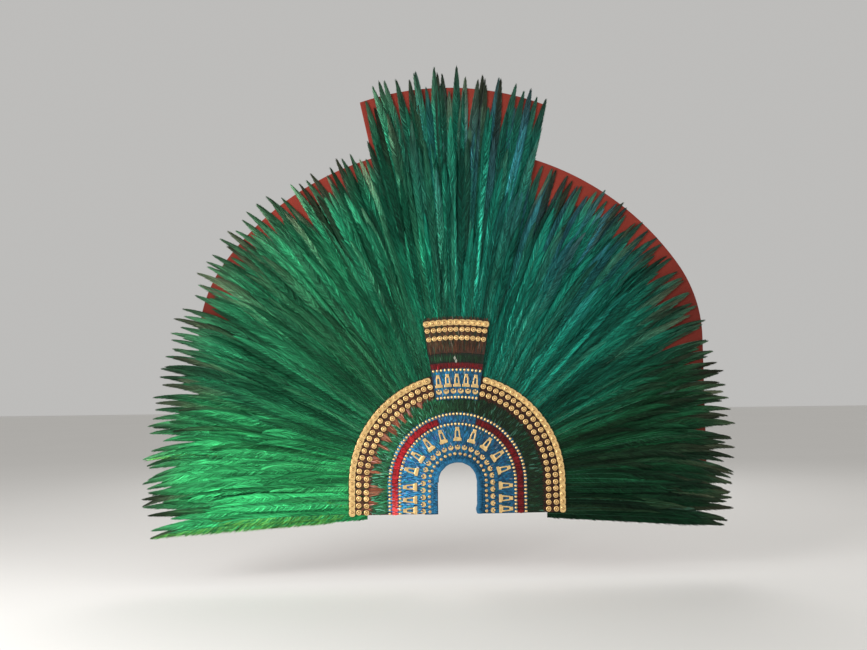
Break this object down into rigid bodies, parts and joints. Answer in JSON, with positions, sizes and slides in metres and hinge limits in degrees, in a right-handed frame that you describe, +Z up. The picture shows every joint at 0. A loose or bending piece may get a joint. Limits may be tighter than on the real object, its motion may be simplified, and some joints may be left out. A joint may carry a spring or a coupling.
{
  "type": "feathered headdress on a backing board",
  "caption": "Feathered headdress spread flat on its backing board: long green plumes fan out from an arch of blue, red, green and brown feather bands sewn with gold.",
  "frame": {"origin": "middle of the arch's base line, on the back face of the board", "axes": "+X to the right as seen from the front, +Z up, +Y into the board, so the feathered front faces -Y"},
  "size_m": [1.7843, 0.0356, 1.4032],
  "materials": {
    "red_board": "covered in matt red cloth",
    "rear_plumes": "dark iridescent green plume",
    "front_plumes": "iridescent green plume",
    "blue_feathers": "short sky blue feathers",
    "green_feathers": "short dark green feathers",
    "brown_feathers": "short reddish brown feathers",
    "red_feathers": "short crimson feathers",
    "gold": "thin embossed gold sheet"
  },
  "bodies": {
    "root": {"backing_board": "red_board", "rear_plumes_left": "rear_plumes", "rear_plumes_crest": "rear_plumes", "rear_plumes_right": "rear_plumes", "front_plumes_left": "front_plumes", "front_plumes_crest": "front_plumes", "front_plumes_right": "front_plumes", "blue_field": "blue_feathers", "blue_keystone": "blue_feathers", "crown_blue_field": "blue_feathers", "green_band": "green_feathers", "crown_green_band": "green_feathers", "brown_band_left": "brown_feathers", "brown_band_right": "brown_feathers", "crown_brown_field": "brown_feathers", "red_band_left": "red_feathers", "red_band_right": "red_feathers", "crown_red_band": "red_feathers", "edge_plates_left": "gold", "edge_plates_right": "gold", "crown_edge_plates": "gold", "disc_row_middle_left": "gold", "disc_row_middle_right": "gold", "disc_row_inner_left": "gold", "disc_row_inner_right": "gold", "crown_disc_row_upper": "gold", "crown_disc_row_lower": "gold", "dome_row_outer": "gold", "dome_row_middle": "gold", "dome_row_inner": "gold", "crescent_row": "gold", "crown_dome_row_upper": "gold", "crown_crescent_row": "gold", "crown_dome_row_lower": "gold", "stepped_plate_top": "gold", "stepped_plate_left_1": "gold", "stepped_plate_right_1": "gold", "stepped_plate_left_2": "gold", "stepped_plate_right_2": "gold", "stepped_plate_left_3": "gold", "stepped_plate_right_3": "gold", "stepped_plate_left_4": "gold", "stepped_plate_right_4": "gold", "stepped_plate_left_5": "gold", "stepped_plate_right_5": "gold", "stepped_plate_left_6": "gold", "stepped_plate_right_6": "gold", "stepped_plate_left_7": "gold", "stepped_plate_right_7": "gold", "crown_plate_1": "gold", "crown_plate_2": "gold", "crown_plate_3": "gold", "crown_plate_4": "gold", "crown_plate_5": "gold"}
  },
  "joints": []
}
